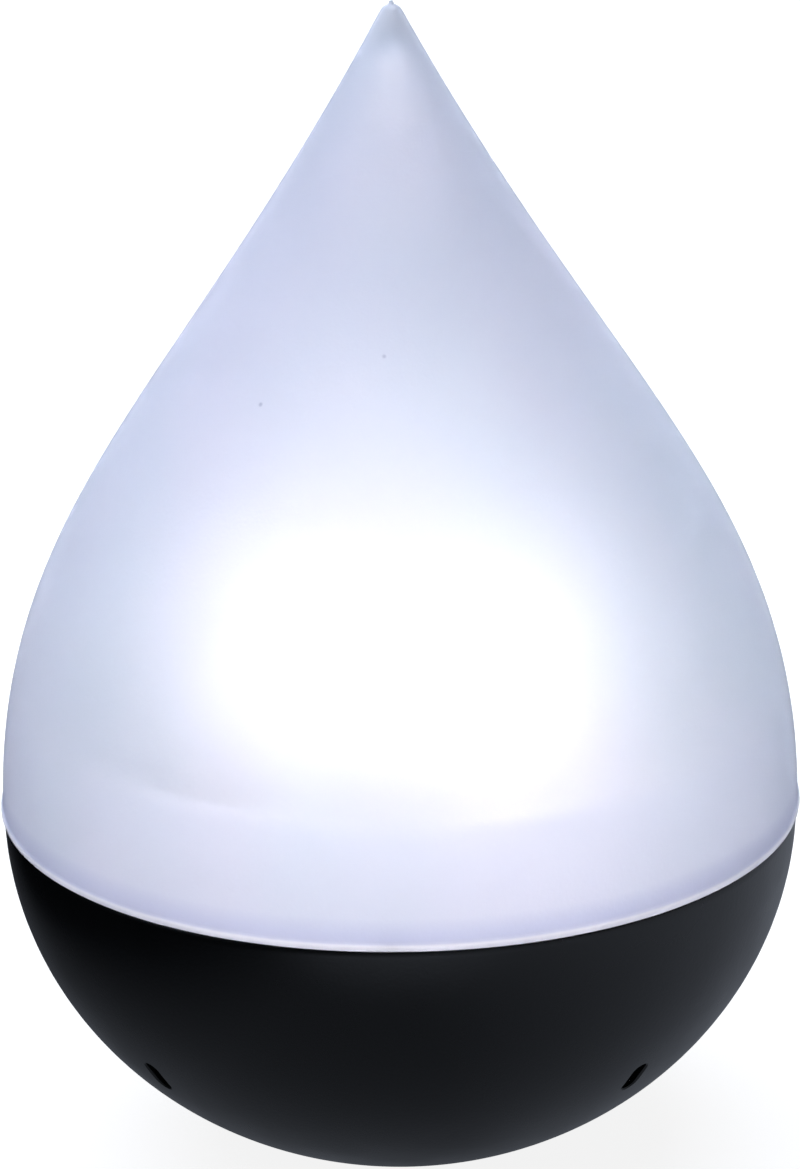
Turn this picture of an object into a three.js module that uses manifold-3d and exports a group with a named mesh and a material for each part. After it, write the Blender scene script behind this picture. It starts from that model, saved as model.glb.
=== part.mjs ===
// A teardrop cool mist humidifier: a frosted cover stands on a black bowl that holds
// the water basin, the mist maker, the fan, the lights and the controls.
// Millimetres, +Z up, front towards -Y, origin on the table under the middle.
import * as THREE from 'three';
import { mergeVertices } from 'three/addons/utils/BufferGeometryUtils.js';
import Module from 'manifold-3d';

const wasm = await Module();
wasm.setup();

// ---- Driving dimensions ----
const BODY_R = 110; // cover's outer radius at the seam
const COVER_H = 2.03 * BODY_R; // seam to the shoulder of the tip
const COVER_WALL = 2.2;
const TIP_R = 0.025 * BODY_R;
const BEAD = 0.55; // how far the cover's foot bead stands out
const BOWL_R = 0.9973 * BODY_R; // bowl is half of an ellipsoid with a flat bottom
const BOWL_B = 0.9176 * BODY_R;
const BOWL_DEPTH = 0.84 * BODY_R; // seam to the flat bottom
const BOWL_WALL = 2.6;
const FOOT_H = 1.6; // how far the feet stand out
const GAP = 0.3; // room left between touching pieces
const SEAM_Z = FOOT_H + BOWL_DEPTH;
const COLLAR_R = 0.915 * BODY_R; // basin's rim, inside the cover
const COLLAR_H = 31.4; // rim above the seam
const BASIN_WALL = 2.2;
const SUMP_R = 79.5;
const FLOOR_TOP = 47;
const FLOOR_BOTTOM = 44.6;
const SHELL_SIDES = 40; // facets round the large shells
const BASIN_SIDES = 32;
const TUBE_SIDES = 20;
const SMALL_SIDES = 10;
const SCREW_SIDES = 8;
const TAU = 2 * Math.PI;

// ---- Materials ----
const paint = (color, roughness, metalness = 0) =>
  new THREE.MeshStandardMaterial({ color, roughness, metalness });
const frosted = paint(0xd9e0f0, 0.55);
const clearWhite = paint(0xe8ecf5, 0.4);
const black = paint(0x111214, 0.28);
const darkGrey = paint(0x2a2c30, 0.55);
const rubber = paint(0x1b1b1c, 0.85);
const silicone = paint(0xc9ccd2, 0.7);
const steel = paint(0xb9bcc0, 0.3, 1);
const brass = paint(0xc9a45a, 0.35, 1);
const aluminium = paint(0xc4c7ca, 0.4, 1);
const boardGreen = paint(0x1d5c38, 0.5);
const foam = paint(0xf2f2ee, 0.6);
const lampWhite = paint(0xfff7e0, 0.4);
const copper = paint(0xb3602c, 0.4, 1);
const redWire = paint(0x9c2a25, 0.6);

// ---- Solids ----
// Turns any closed three.js geometry into a solid with its faces pointing out.
function solid(geometry) {
  const bare = geometry.clone();
  bare.deleteAttribute('normal');
  bare.deleteAttribute('uv');
  const merged = mergeVertices(bare, 1e-4);
  const points = merged.attributes.position.array;
  const corners = [];
  let volume = 0;
  const at = (i) => new THREE.Vector3().fromArray(points, 3 * i);
  for (let i = 0; i < merged.index.count; i += 3) {
    const [a, b, c] = [0, 1, 2].map((k) => merged.index.getX(i + k));
    if (a === b || b === c || c === a) continue;
    corners.push([a, b, c]);
    volume += at(a).dot(at(b).cross(at(c)));
  }
  const outward = corners.flatMap(([a, b, c]) => (volume > 0 ? [a, b, c] : [a, c, b]));
  const triVerts = new Uint32Array(outward);
  const vertProperties = new Float32Array(points);
  return new wasm.Manifold(new wasm.Mesh({ numProp: 3, vertProperties, triVerts }));
}

// A body turned about the Z axis from a closed outline of [radius, height] points.
function turned(outline, sides = TUBE_SIDES) {
  const loop = outline.map(([r, z]) => new THREE.Vector2(r, z));
  const onAxis = outline[0][0] === 0 && outline.at(-1)[0] === 0;
  if (!onAxis) loop.push(loop[0].clone());
  return solid(new THREE.LatheGeometry(loop, sides).rotateX(Math.PI / 2));
}

function rod(radius, bottom, top, sides = SMALL_SIDES) {
  return turned([[0, bottom], [radius, bottom], [radius, top], [0, top]], sides);
}

function ring(inner, outer, bottom, top, sides = TUBE_SIDES) {
  return turned([[inner, bottom], [outer, bottom], [outer, top], [inner, top]], sides);
}

function block(width, depth, bottom, top) {
  const box = new THREE.BoxGeometry(width, depth, top - bottom);
  return solid(box.translate(0, 0, (bottom + top) / 2));
}

function roundedRectangle(width, height, corner) {
  const [x, y] = [width / 2, height / 2];
  const shape = new THREE.Shape();
  shape.moveTo(x - corner, -y);
  shape.absarc(x - corner, -y + corner, corner, -Math.PI / 2, 0);
  shape.absarc(x - corner, y - corner, corner, 0, Math.PI / 2);
  shape.absarc(-x + corner, y - corner, corner, Math.PI / 2, Math.PI);
  shape.absarc(-x + corner, -y + corner, corner, Math.PI, 1.5 * Math.PI);
  return shape;
}

function slab(shape, bottom, top, steps = 5) {
  const options = { depth: top - bottom, bevelEnabled: false, curveSegments: steps };
  return solid(new THREE.ExtrudeGeometry(shape, options).translate(0, 0, bottom));
}

// Screws point up, with the head below z = 0.
function screw(headR, headH, shankR, length) {
  const outline = [
    [0, -headH],
    [0.8 * headR, -headH],
    [headR, 0.5 - headH],
    [headR, 0],
    [shankR, 0],
    [shankR, length - shankR],
    [0, length],
  ];
  return turned(outline, SCREW_SIDES);
}

function flipped(part) {
  return part.rotate([180, 0, 0]);
}

// The matrix that stands local +Z along a direction at a point, with local X level.
function frameAt(point, direction) {
  const z = direction.clone().normalize();
  const x = new THREE.Vector3(0, 0, 1).cross(z).normalize();
  const y = z.clone().cross(x);
  return new THREE.Matrix4().makeBasis(x, y, z).setPosition(point);
}

const placed = (part, matrix) => part.transform(matrix.elements);

function around(count, radius, start = 0) {
  return Array.from({ length: count }, (_, i) => {
    const angle = start + (i * TAU) / count;
    return [radius * Math.cos(angle), radius * Math.sin(angle)];
  });
}

// ---- Scene graph ----
const humidifier = new THREE.Group();

function add(name, part, material, parent = humidifier) {
  const mesh = part.getMesh();
  const geometry = new THREE.BufferGeometry();
  geometry.setAttribute('position', new THREE.Float32BufferAttribute(mesh.vertProperties, 3));
  geometry.setIndex(Array.from(mesh.triVerts));
  geometry.computeVertexNormals();
  const node = new THREE.Mesh(geometry, material);
  node.name = name;
  parent.add(node);
}

// ---- Outlines of the two shells ----
// The cover's side is one curve from the tip down to the seam, upright at the seam.
const tipSlope = THREE.MathUtils.degToRad(28);
const coverCurve = new THREE.CubicBezierCurve(
  new THREE.Vector2(TIP_R, COVER_H),
  new THREE.Vector2(
    TIP_R + 1.111 * BODY_R * Math.sin(tipSlope),
    COVER_H - 1.111 * BODY_R * Math.cos(tipSlope),
  ),
  new THREE.Vector2(BODY_R, 0.7528 * BODY_R),
  new THREE.Vector2(BODY_R, 0),
);

// A point of the cover's side, moved in along its normal.
function coverPoint(t, inset = 0) {
  const point = coverCurve.getPoint(t);
  const tangent = coverCurve.getTangent(t);
  return [point.x + inset * tangent.y, SEAM_Z + point.y - inset * tangent.x];
}

const bowlRadius = (depth, inset = 0) =>
  (BOWL_R - inset) * Math.sqrt(1 - (depth / (BOWL_B - inset)) ** 2);

// Points down the bowl's side, evenly turned from one depth to another.
function bowlPoints(from, to, steps, inset = 0) {
  const b = BOWL_B - inset;
  const [start, end] = [Math.asin(from / b), Math.asin(to / b)];
  return Array.from({ length: steps + 1 }, (_, i) => {
    const angle = start + ((end - start) * i) / steps;
    return [(BOWL_R - inset) * Math.cos(angle), SEAM_Z - b * Math.sin(angle)];
  });
}

function bowlNormal(azimuth, depth) {
  const r = bowlRadius(depth) / BOWL_R ** 2;
  const down = -depth / BOWL_B ** 2;
  return new THREE.Vector3(r * Math.sin(azimuth), -r * Math.cos(azimuth), down).normalize();
}

function bowlSpot(azimuth, depth) {
  const r = bowlRadius(depth);
  return new THREE.Vector3(r * Math.sin(azimuth), -r * Math.cos(azimuth), SEAM_Z - depth);
}

// ---- Cover, with the mist outlet in its hidden back ----
const OUTLET_T = 0.27; // place of the outlet along the cover's side
const OUTLET_R = 12;
const [outletY, outletZ] = coverPoint(OUTLET_T);
const outletTangent = coverCurve.getTangent(OUTLET_T);
const outletFrame = frameAt(
  new THREE.Vector3(0, outletY, outletZ),
  new THREE.Vector3(0, -outletTangent.y, outletTangent.x),
);

function coverShell() {
  const top = SEAM_Z + COVER_H;
  const outer = Array.from({ length: 12 }, (_, i) => coverPoint((0.985 * i) / 11));
  const inner = Array.from({ length: 10 }, (_, i) => coverPoint(1 - (0.965 * i) / 9, COVER_WALL));
  const [endR, endZ] = inner.at(-1);
  const outline = [
    [0, top + 2.4],
    [0.8, top + 1.1],
    [0.62 * TIP_R, top + 0.85],
    ...outer,
    [BODY_R + BEAD, SEAM_Z + 1.9],
    [BODY_R + BEAD, SEAM_Z + 0.6],
    [BODY_R + 0.3, SEAM_Z],
    ...inner,
    [0.5 * endR, endZ + 0.4 * endR],
    [0, endZ + 0.5 * endR],
  ];
  const hole = placed(rod(OUTLET_R + GAP, -12, 12, TUBE_SIDES), outletFrame);
  return turned(outline, SHELL_SIDES).subtract(hole);
}

function mistOutlet() {
  const spout = ring(OUTLET_R - 1.6, OUTLET_R, -8, 1.6);
  const lip = ring(OUTLET_R - 1.6, OUTLET_R - 0.4, 1.5, 2.2);
  return placed(spout.add(lip), outletFrame);
}

// ---- Mist tube: stands on the basin floor over the mist maker ----
const MIST_TUBE_TOP = SEAM_Z + 70;

function mistTube() {
  const foot = FLOOR_TOP + 0.6;
  const outline = [
    [18.6, foot],
    [20.4, foot],
    [15.6, MIST_TUBE_TOP - 2],
    [16.4, MIST_TUBE_TOP - 1.2],
    [16.4, MIST_TUBE_TOP],
    [13.8, MIST_TUBE_TOP],
  ];
  const notch = block(60, 8, foot - 1, foot + 11);
  return turned(outline).subtract(notch).subtract(notch.rotate([0, 0, 90]));
}

// ---- Water basin ----
const AIR_X = -44; // fan and air pipe
const FLOAT_X = 44; // level float and its post
const FAN_SCREW = 20.5; // fan's holes from its middle, both ways
const fanScrews = [[AIR_X + FAN_SCREW, -FAN_SCREW], [AIR_X - FAN_SCREW, FAN_SCREW]];
const flangeScrews = around(3, 102.9, Math.PI / 6);
const clampScrews = around(3, 17, Math.PI / 6);
const AIR_PIPE_TOP = SEAM_Z + 14;
const PAD_R = 20.5; // pad under the floor that the mist maker's clamp screws into
const PAD_BOTTOM = 40.2;
const SEAL_R = 12.5;
const FLANGE_R = 106.4;
const RIM_R = 105.5; // inside of the flange's upturned rim
const RIM_TOP = SEAM_Z + 5;
const FLANGE_TOP = SEAM_Z - 1.4;
const FLANGE_BOTTOM = SEAM_Z - 3.6;

function waterBasin() {
  const inner = COLLAR_R - BASIN_WALL;
  const sump = SUMP_R - BASIN_WALL;
  const outline = [
    [inner, SEAM_Z + COLLAR_H],
    [inner, SEAM_Z - 7],
    [sump + 3, SEAM_Z - 12],
    [sump, SEAM_Z - 16],
    [sump - 1.5, FLOOR_TOP + 6],
    [sump - 6.5, FLOOR_TOP + 1],
    [26, FLOOR_TOP],
    [8.2, FLOOR_TOP - 0.4],
    [8.2, FLOOR_BOTTOM],
    [SEAL_R + GAP, FLOOR_BOTTOM],
    [SEAL_R + GAP, PAD_BOTTOM],
    [PAD_R, PAD_BOTTOM],
    [PAD_R, FLOOR_BOTTOM],
    [SUMP_R - 8, FLOOR_BOTTOM],
    [SUMP_R - 1.5, FLOOR_TOP + 4],
    [SUMP_R, SEAM_Z - 17.5],
    [SUMP_R + 3, SEAM_Z - 14.4],
    [COLLAR_R - 0.6, SEAM_Z - 9],
    [COLLAR_R - 0.6, FLANGE_BOTTOM],
    [FLANGE_R, FLANGE_BOTTOM],
    [FLANGE_R, RIM_TOP],
    [RIM_R, RIM_TOP],
    [RIM_R, FLANGE_TOP],
    [COLLAR_R, FLANGE_TOP],
    [COLLAR_R, SEAM_Z + COLLAR_H],
  ];
  let basin = turned(outline, BASIN_SIDES)
    .add(rod(15, FLOOR_BOTTOM + 1, AIR_PIPE_TOP, TUBE_SIDES).translate([AIR_X, 0, 0]))
    .subtract(rod(13, FLOOR_BOTTOM - 1, AIR_PIPE_TOP + 1, TUBE_SIDES).translate([AIR_X, 0, 0]))
    .add(rod(3.4, FLOOR_BOTTOM + 1, FLOOR_TOP + 24).translate([FLOAT_X, 0, 0]))
    .subtract(rod(2, FLOOR_BOTTOM - 1, FLOOR_TOP + 21).translate([FLOAT_X, 0, 0]));
  for (const [x, y] of fanScrews) {
    basin = basin
      .add(rod(3, 37 + GAP, FLOOR_BOTTOM + 1).translate([x, y, 0]))
      .subtract(rod(1.5, 37, FLOOR_BOTTOM - 1).translate([x, y, 0]));
  }
  for (const [x, y] of clampScrews) {
    basin = basin.subtract(rod(1.5, PAD_BOTTOM - 1, FLOOR_BOTTOM - 0.7).translate([x, y, 0]));
  }
  for (const [x, y] of flangeScrews) {
    basin = basin.subtract(rod(1.6, FLANGE_BOTTOM - 1, FLANGE_TOP + 1).translate([x, y, 0]));
  }
  return basin;
}

function waterLevelFloat() {
  const bottom = FLOOR_TOP + 1.2;
  const outline = [
    [4.2, bottom],
    [12, bottom],
    [13, bottom + 1],
    [13, bottom + 11],
    [12, bottom + 12],
    [4.2, bottom + 12],
  ];
  return turned(outline).translate([FLOAT_X, 0, 0]);
}

function floatRetainer() {
  const postTop = FLOOR_TOP + 24;
  const outline = [
    [0, postTop + GAP],
    [3.7, postTop + GAP],
    [3.7, postTop - 2],
    [6.5, postTop - 2],
    [6.5, postTop - 0.6],
    [4.5, postTop + 2],
    [0, postTop + 2.4],
  ];
  return turned(outline).translate([FLOAT_X, 0, 0]);
}

// ---- Mist maker under the middle of the basin ----
function transducerSeal() {
  const [top, bottom] = [FLOOR_BOTTOM - GAP, PAD_BOTTOM];
  const outline = [
    [8.2, top],
    [SEAL_R, top],
    [SEAL_R, bottom],
    [8.2, bottom],
    [8.2, bottom + 1.5],
    [10, bottom + 1.5],
    [10, bottom + 3.1],
    [8.2, bottom + 3.1],
  ];
  return turned(outline);
}

function transducerClamp() {
  let clamp = ring(5, PAD_R - 0.2, 37.3, PAD_BOTTOM - GAP);
  for (const [x, y] of clampScrews) {
    clamp = clamp.subtract(rod(1.5, 36, 41).translate([x, y, 0]));
  }
  return clamp;
}

// ---- Fan ----
const FAN_BOTTOM = 25;
const FAN_TOP = 37;

function fanFrame() {
  const body = slab(roundedRectangle(50, 50, 4), FAN_BOTTOM, FAN_TOP, 3);
  let frame = body.subtract(rod(23, FAN_BOTTOM - 1, FAN_TOP + 1, TUBE_SIDES));
  frame = frame.add(rod(10.5, FAN_BOTTOM, FAN_BOTTOM + 2, TUBE_SIDES));
  for (let i = 0; i < 3; i += 1) {
    const strut = block(15, 3, FAN_BOTTOM, FAN_BOTTOM + 2).translate([16.5, 0, 0]);
    frame = frame.add(strut.rotate([0, 0, 60 + 120 * i]));
  }
  for (const [x, y] of around(4, FAN_SCREW * Math.SQRT2, Math.PI / 4)) {
    frame = frame.subtract(rod(1.7, FAN_BOTTOM - 1, FAN_TOP + 1, 8).translate([x, y, 0]));
  }
  return frame.translate([AIR_X, 0, 0]);
}

function fanRotor() {
  const blades = 7;
  let rotor = rod(11, FAN_BOTTOM + 2.6, FAN_TOP - 0.6, TUBE_SIDES);
  for (let i = 0; i < blades; i += 1) {
    const blade = solid(new THREE.BoxGeometry(12, 1.2, 9))
      .rotate([42, 0, 0])
      .translate([15.6, 0, (FAN_BOTTOM + FAN_TOP) / 2 + 1]);
    rotor = rotor.add(blade.rotate([0, 0, (360 * i) / blades]));
  }
  return rotor.translate([AIR_X, 0, 0]);
}

function airDuct() {
  return turned([
    [22.8, FAN_TOP + GAP],
    [22.8, FAN_TOP + 1],
    [14.9, FAN_TOP + 3.4],
    [14.9, FLOOR_BOTTOM - GAP],
    [13.2, FLOOR_BOTTOM - GAP],
    [13.2, FAN_TOP + 2.8],
    [20.2, FAN_TOP + GAP],
  ]).translate([AIR_X, 0, 0]);
}

// ---- Bowl, with air slots round it and a window for the rear panel ----
const PANEL_DROP = 30; // below the seam
const PANEL_W = 52;
const PANEL_H = 26;
const PANEL_RECESS = 4.2;
const panelNormal = bowlNormal(Math.PI, PANEL_DROP);
const panelSpot = bowlSpot(Math.PI, PANEL_DROP).addScaledVector(panelNormal, -PANEL_RECESS);
// Seen from behind, panel X runs to the left, Y down and Z out.
const panelFrame = new THREE.Matrix4()
  .makeRotationX(-Math.acos(panelNormal.z))
  .setPosition(panelSpot);
const LEDGE_R = 100.8; // ring inside the bowl that carries the basin's flange
const LEDGE_TOP = SEAM_Z - 5.2;
const LEDGE_BOTTOM = SEAM_Z - 8.2;
const HATCH_R = 40; // bottom cover's opening
const HATCH_TOP = FOOT_H + 2.9;
const HATCH_LEDGE_R = 31;
const HATCH_LEDGE_TOP = HATCH_TOP + 3;
const SLOT_DROP = 0.5115 * BODY_R;
const SLOT_LENGTH = 11.5;
const SLOT_WIDTH = 4.8;
const hatchScrews = around(4, 35.5);

function baseShell() {
  const depth = (z) => SEAM_Z - z;
  const outline = [
    [HATCH_R, FOOT_H],
    ...bowlPoints(GAP, BOWL_DEPTH, 11).reverse(),
    ...bowlPoints(GAP, depth(LEDGE_TOP), 1, BOWL_WALL),
    [LEDGE_R, LEDGE_TOP],
    [LEDGE_R, LEDGE_BOTTOM],
    ...bowlPoints(depth(LEDGE_BOTTOM), depth(HATCH_LEDGE_TOP), 7, BOWL_WALL),
    [HATCH_LEDGE_R, HATCH_LEDGE_TOP],
    [HATCH_LEDGE_R, HATCH_TOP],
    [HATCH_R, HATCH_TOP],
  ];
  let shell = turned(outline, SHELL_SIDES);
  for (let i = 0; i < 4; i += 1) {
    const azimuth = (TAU * (i + 0.5)) / 4;
    const slotFrame = frameAt(bowlSpot(azimuth, SLOT_DROP), bowlNormal(azimuth, SLOT_DROP));
    const slot = slab(roundedRectangle(SLOT_WIDTH, SLOT_LENGTH, SLOT_WIDTH / 2), -8, 8, 3);
    shell = shell.subtract(placed(slot, slotFrame));
  }
  for (const [x, y] of hatchScrews) {
    shell = shell.subtract(rod(1.6, HATCH_TOP - 1, HATCH_LEDGE_TOP + 1).translate([x, y, 0]));
  }
  for (const [x, y] of flangeScrews) {
    shell = shell.subtract(rod(1.6, LEDGE_BOTTOM - 1, LEDGE_TOP + 1).translate([x, y, 0]));
  }
  const window = slab(roundedRectangle(PANEL_W + 2 * GAP, PANEL_H + 2 * GAP, 4 + GAP), -8, 12, 4);
  return shell.subtract(placed(window, panelFrame));
}

const FOOT_RING = 30;
const BOARD_POSTS = [[18.5, 13.5], [-18.5, 13.5], [-18.5, -13.5], [18.5, -13.5]];
const DRIVER_BOTTOM = 11;
const DRIVER_TOP = 12.6;

function bottomCover() {
  let cover = turned([
    [0, FOOT_H],
    [HATCH_R - GAP, FOOT_H],
    [HATCH_R - GAP, HATCH_TOP - GAP],
    [0, HATCH_TOP - GAP],
  ], SHELL_SIDES);
  for (const [x, y] of around(4, FOOT_RING, Math.PI / 4)) {
    cover = cover.subtract(rod(6.3, 0, FOOT_H + 1.2, 16).translate([x, y, 0]));
  }
  for (const [x, y] of hatchScrews) {
    cover = cover.subtract(rod(1.6, 0, 6).translate([x, y, 0]));
    cover = cover.subtract(rod(3, 0, FOOT_H + 1.2).translate([x, y, 0]));
  }
  for (const [x, y] of BOARD_POSTS) {
    cover = cover.add(rod(2.6, HATCH_TOP - 1, DRIVER_BOTTOM - GAP).translate([x, y, 0]));
    cover = cover.subtract(rod(1.3, HATCH_TOP + 1, DRIVER_BOTTOM).translate([x, y, 0]));
  }
  return cover;
}

function foot() {
  return turned([[0, 0], [5.4, 0], [6, 0.6], [6, FOOT_H + 0.9], [0, FOOT_H + 0.9]], 16);
}

// ---- Driver board, on posts of the bottom cover ----
function driverBoard() {
  let board = block(43, 33, DRIVER_BOTTOM, DRIVER_TOP);
  for (const [x, y] of BOARD_POSTS) {
    board = board.subtract(rod(1.3, DRIVER_BOTTOM - 1, DRIVER_TOP + 1).translate([x, y, 0]));
  }
  return board;
}

function heatSink() {
  const bottom = DRIVER_TOP + GAP;
  let sink = block(13, 18, bottom, bottom + 10);
  for (const x of [-4, 0, 4]) {
    sink = sink.subtract(block(2, 20, bottom + 2.5, bottom + 11).translate([x, 0, 0]));
  }
  return sink.translate([11, 1, 0]);
}

// ---- Rear panel group, in panel coordinates ----
const KNOB_X = 13;
const BUTTON_X = -2.5;
const SOCKET_X = -16.5;
const PANEL_BACK = -3;
const CONTROL_TOP = -9.1; // face of the control board

function rearPanel() {
  const filled = turned([
    [0, SEAM_Z - GAP],
    ...bowlPoints(GAP, BOWL_DEPTH, 11, 0.2),
    [0, FOOT_H],
  ], SHELL_SIDES);
  const tray = slab(roundedRectangle(PANEL_W, PANEL_H, 4), PANEL_BACK, 8, 4)
    .subtract(slab(roundedRectangle(PANEL_W - 3.2, PANEL_H - 3.2, 2.4), 0, 9, 4))
    .subtract(rod(3.3, -5, 2).translate([KNOB_X, 0, 0]))
    .subtract(rod(4.4, -5, 2, 16).translate([BUTTON_X, 0, 0]))
    .subtract(rod(4.5, -5, 2, 16).translate([SOCKET_X, 0, 0]));
  return tray.intersect(placed(filled, panelFrame.clone().invert()));
}

function mistKnob() {
  const outline = [
    [0, -7],
    [2.6, -7],
    [2.9, -6.6],
    [2.9, 0.6],
    [8.6, 0.6],
    [8.6, 1.6],
    [7.9, 5.4],
    [7.2, 6.1],
    [0, 6.1],
  ];
  let knob = turned(outline);
  for (const [x, y] of around(TUBE_SIDES / 2, 8.9)) {
    knob = knob.subtract(rod(0.75, 2.2, 7, 6).translate([x, y, 0]));
  }
  const pointer = block(1, 5, 5.5, 7).translate([0, -5.4, 0]);
  return knob.subtract(pointer).translate([KNOB_X, 0, 0]);
}

function mistEncoder() {
  const body = slab(roundedRectangle(12, 12, 1), CONTROL_TOP + GAP, PANEL_BACK - GAP, 2);
  return body.subtract(rod(3.3, -7.5, 0)).translate([KNOB_X, 0, 0]);
}

function lightButton() {
  const outline = [
    [0, -6.9],
    [1.3, -6.9],
    [1.3, -5],
    [5.2, -5],
    [5.2, PANEL_BACK - GAP],
    [4, PANEL_BACK - GAP],
    [4, 1],
    [3.4, 1.5],
    [0, 1.7],
  ];
  return turned(outline, 16).translate([BUTTON_X, 0, 0]);
}

function lightSwitch() {
  const body = block(6, 6, CONTROL_TOP + GAP, -6.6);
  return body.subtract(rod(1.7, -8.4, -6, 8)).translate([BUTTON_X, 0, 0]);
}

function powerSocket() {
  const body = block(9.6, 9.6, -13, PANEL_BACK - GAP).add(rod(4.2, -4, -GAP, 16));
  return body.subtract(rod(3, -11, 1)).add(rod(1, -12, -1.6, 8)).translate([SOCKET_X, 0, 0]);
}

function controlBoard() {
  return block(33, 19, CONTROL_TOP - 1.6, CONTROL_TOP).translate([7.5, 0, 0]);
}

// ---- Inner wires ----
function wire(radius, points) {
  const stops = points.map((p) => new THREE.Vector3(...p));
  const path = new THREE.CatmullRomCurve3(stops, false, 'centripetal');
  const section = new THREE.Shape();
  section.absarc(0, 0, radius, 0, TAU);
  const options = { steps: 11, curveSegments: 3, extrudePath: path };
  return solid(new THREE.ExtrudeGeometry(section, options));
}

const socketBack = new THREE.Vector3(SOCKET_X, 0, -13 - GAP).applyMatrix4(panelFrame);
const socketOut = new THREE.Vector3(SOCKET_X, 0, -17).applyMatrix4(panelFrame);

// ---- Assembly ----
add('cover_shell', coverShell(), frosted);
add('mist_outlet', mistOutlet(), clearWhite);
add('mist_tube', mistTube(), clearWhite);

add('base_shell', baseShell(), black);
add('bottom_cover', bottomCover(), darkGrey);
around(4, FOOT_RING, Math.PI / 4).forEach(([x, y], i) => {
  add(`foot_${i + 1}`, foot().translate([x, y, 0]), rubber);
});
hatchScrews.forEach(([x, y], i) => {
  add(`bottom_screw_${i + 1}`, screw(2.6, 1.1, 1.3, 5.4).translate([x, y, FOOT_H + 1.1]), steel);
});

add('water_basin', waterBasin(), clearWhite);
const gasket = ring(LEDGE_R + 0.1, LEDGE_R + 0.7, LEDGE_TOP + GAP, FLANGE_BOTTOM - GAP, BASIN_SIDES);
add('basin_gasket', gasket, silicone);
flangeScrews.forEach(([x, y], i) => {
  const part = flipped(screw(2.1, 1.5, 1.3, 6.4)).translate([x, y, FLANGE_TOP + GAP]);
  add(`basin_screw_${i + 1}`, part, steel);
});
add('level_float', waterLevelFloat(), foam);
add('float_retainer', floatRetainer(), clearWhite);
const sensor = rod(1.6, FLOOR_BOTTOM - 3, FLOOR_TOP + 20).translate([FLOAT_X, 0, 0]);
add('level_sensor', sensor, darkGrey);

add('transducer_disc', rod(9.7, PAD_BOTTOM + 1.8, PAD_BOTTOM + 2.8, TUBE_SIDES), brass);
add('transducer_seal', transducerSeal(), silicone);
add('transducer_clamp', transducerClamp(), aluminium);
clampScrews.forEach(([x, y], i) => {
  add(`clamp_screw_${i + 1}`, screw(2.4, 1.4, 1.2, 6).translate([x, y, 37]), steel);
});

add('light_board', ring(21.5, 27.8, 41, 42.6), boardGreen);
around(6, 24.6, Math.PI / 6).forEach(([x, y], i) => {
  add(`led_${i + 1}`, block(3.4, 3.4, 42.6 + GAP, 44).translate([x, y, 0]), lampWhite);
});

add('air_duct', airDuct(), darkGrey);
add('fan_frame', fanFrame(), black);
add('fan_rotor', fanRotor(), darkGrey);
fanScrews.forEach(([x, y], i) => {
  add(`fan_screw_${i + 1}`, screw(2.6, 1.5, 1.2, 18).translate([x, y, FAN_BOTTOM - GAP]), steel);
});

add('driver_board', driverBoard(), boardGreen);
add('heat_sink', heatSink(), aluminium);
add('driver_coil', ring(2, 5.5, DRIVER_TOP + GAP, DRIVER_TOP + 7).translate([-9, -4.5, 0]), copper);
[BOARD_POSTS[0], BOARD_POSTS[2]].forEach(([x, y], i) => {
  const part = flipped(screw(2.1, 1.3, 1, 6)).translate([x, y, DRIVER_TOP + GAP]);
  add(`driver_screw_${i + 1}`, part, steel);
});

const rearGroup = new THREE.Group();
rearGroup.applyMatrix4(panelFrame);
humidifier.add(rearGroup);
add('rear_panel', rearPanel(), darkGrey, rearGroup);
add('mist_knob', mistKnob(), black, rearGroup);
add('mist_encoder', mistEncoder(), steel, rearGroup);
add('light_button', lightButton(), clearWhite, rearGroup);
add('light_switch', lightSwitch(), darkGrey, rearGroup);
add('control_board', controlBoard(), boardGreen, rearGroup);
add('power_socket', powerSocket(), black, rearGroup);

add('power_wires', wire(1.3, [
  socketBack.toArray(),
  socketOut.toArray(),
  [-15, 78, 40],
  [-10, 52, 22],
  [-8, 30, 15],
  [-8, 20, 14.6],
  [-8, 9, 14.6],
]), redWire);
add('fan_wires', wire(0.9, [
  [AIR_X + 25.4, -8, 31],
  [AIR_X + 29, -8, 30],
  [AIR_X + 31, -10, 23],
  [AIR_X + 30, -12, 17],
  [AIR_X + 29, -13, 14.2],
]), darkGrey);
add('transducer_wires', wire(1, [
  [0, 0, 41],
  [0, 0, 36],
  [1, -2, 28],
  [0, -4, 20],
  [0, -9, 15],
  [2, -13.5, 14.4],
]), silicone);

export default humidifier;
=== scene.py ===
# The looks of a teardrop cool mist humidifier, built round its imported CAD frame.
# Shapes are written in millimetres, +Z up, front towards -Y, and made in metres.
import math

import bmesh
import bpy
from mathutils import Matrix, Vector


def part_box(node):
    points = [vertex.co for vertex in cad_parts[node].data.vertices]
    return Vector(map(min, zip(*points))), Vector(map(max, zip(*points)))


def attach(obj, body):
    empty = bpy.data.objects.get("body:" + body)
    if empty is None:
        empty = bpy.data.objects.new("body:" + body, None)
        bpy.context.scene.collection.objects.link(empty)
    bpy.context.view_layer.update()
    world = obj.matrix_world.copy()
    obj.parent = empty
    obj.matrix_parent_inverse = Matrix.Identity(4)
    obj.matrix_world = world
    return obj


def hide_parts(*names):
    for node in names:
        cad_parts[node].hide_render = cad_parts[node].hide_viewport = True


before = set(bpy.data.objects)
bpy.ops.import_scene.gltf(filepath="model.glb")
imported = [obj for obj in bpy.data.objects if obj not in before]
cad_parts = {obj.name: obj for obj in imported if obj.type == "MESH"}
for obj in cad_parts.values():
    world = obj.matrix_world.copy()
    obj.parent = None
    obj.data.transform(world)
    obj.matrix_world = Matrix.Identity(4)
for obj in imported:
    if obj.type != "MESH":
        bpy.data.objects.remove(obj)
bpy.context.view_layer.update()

MM = 0.001
TAU = 2 * math.pi
UP = Vector((0, 0, 1))

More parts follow.
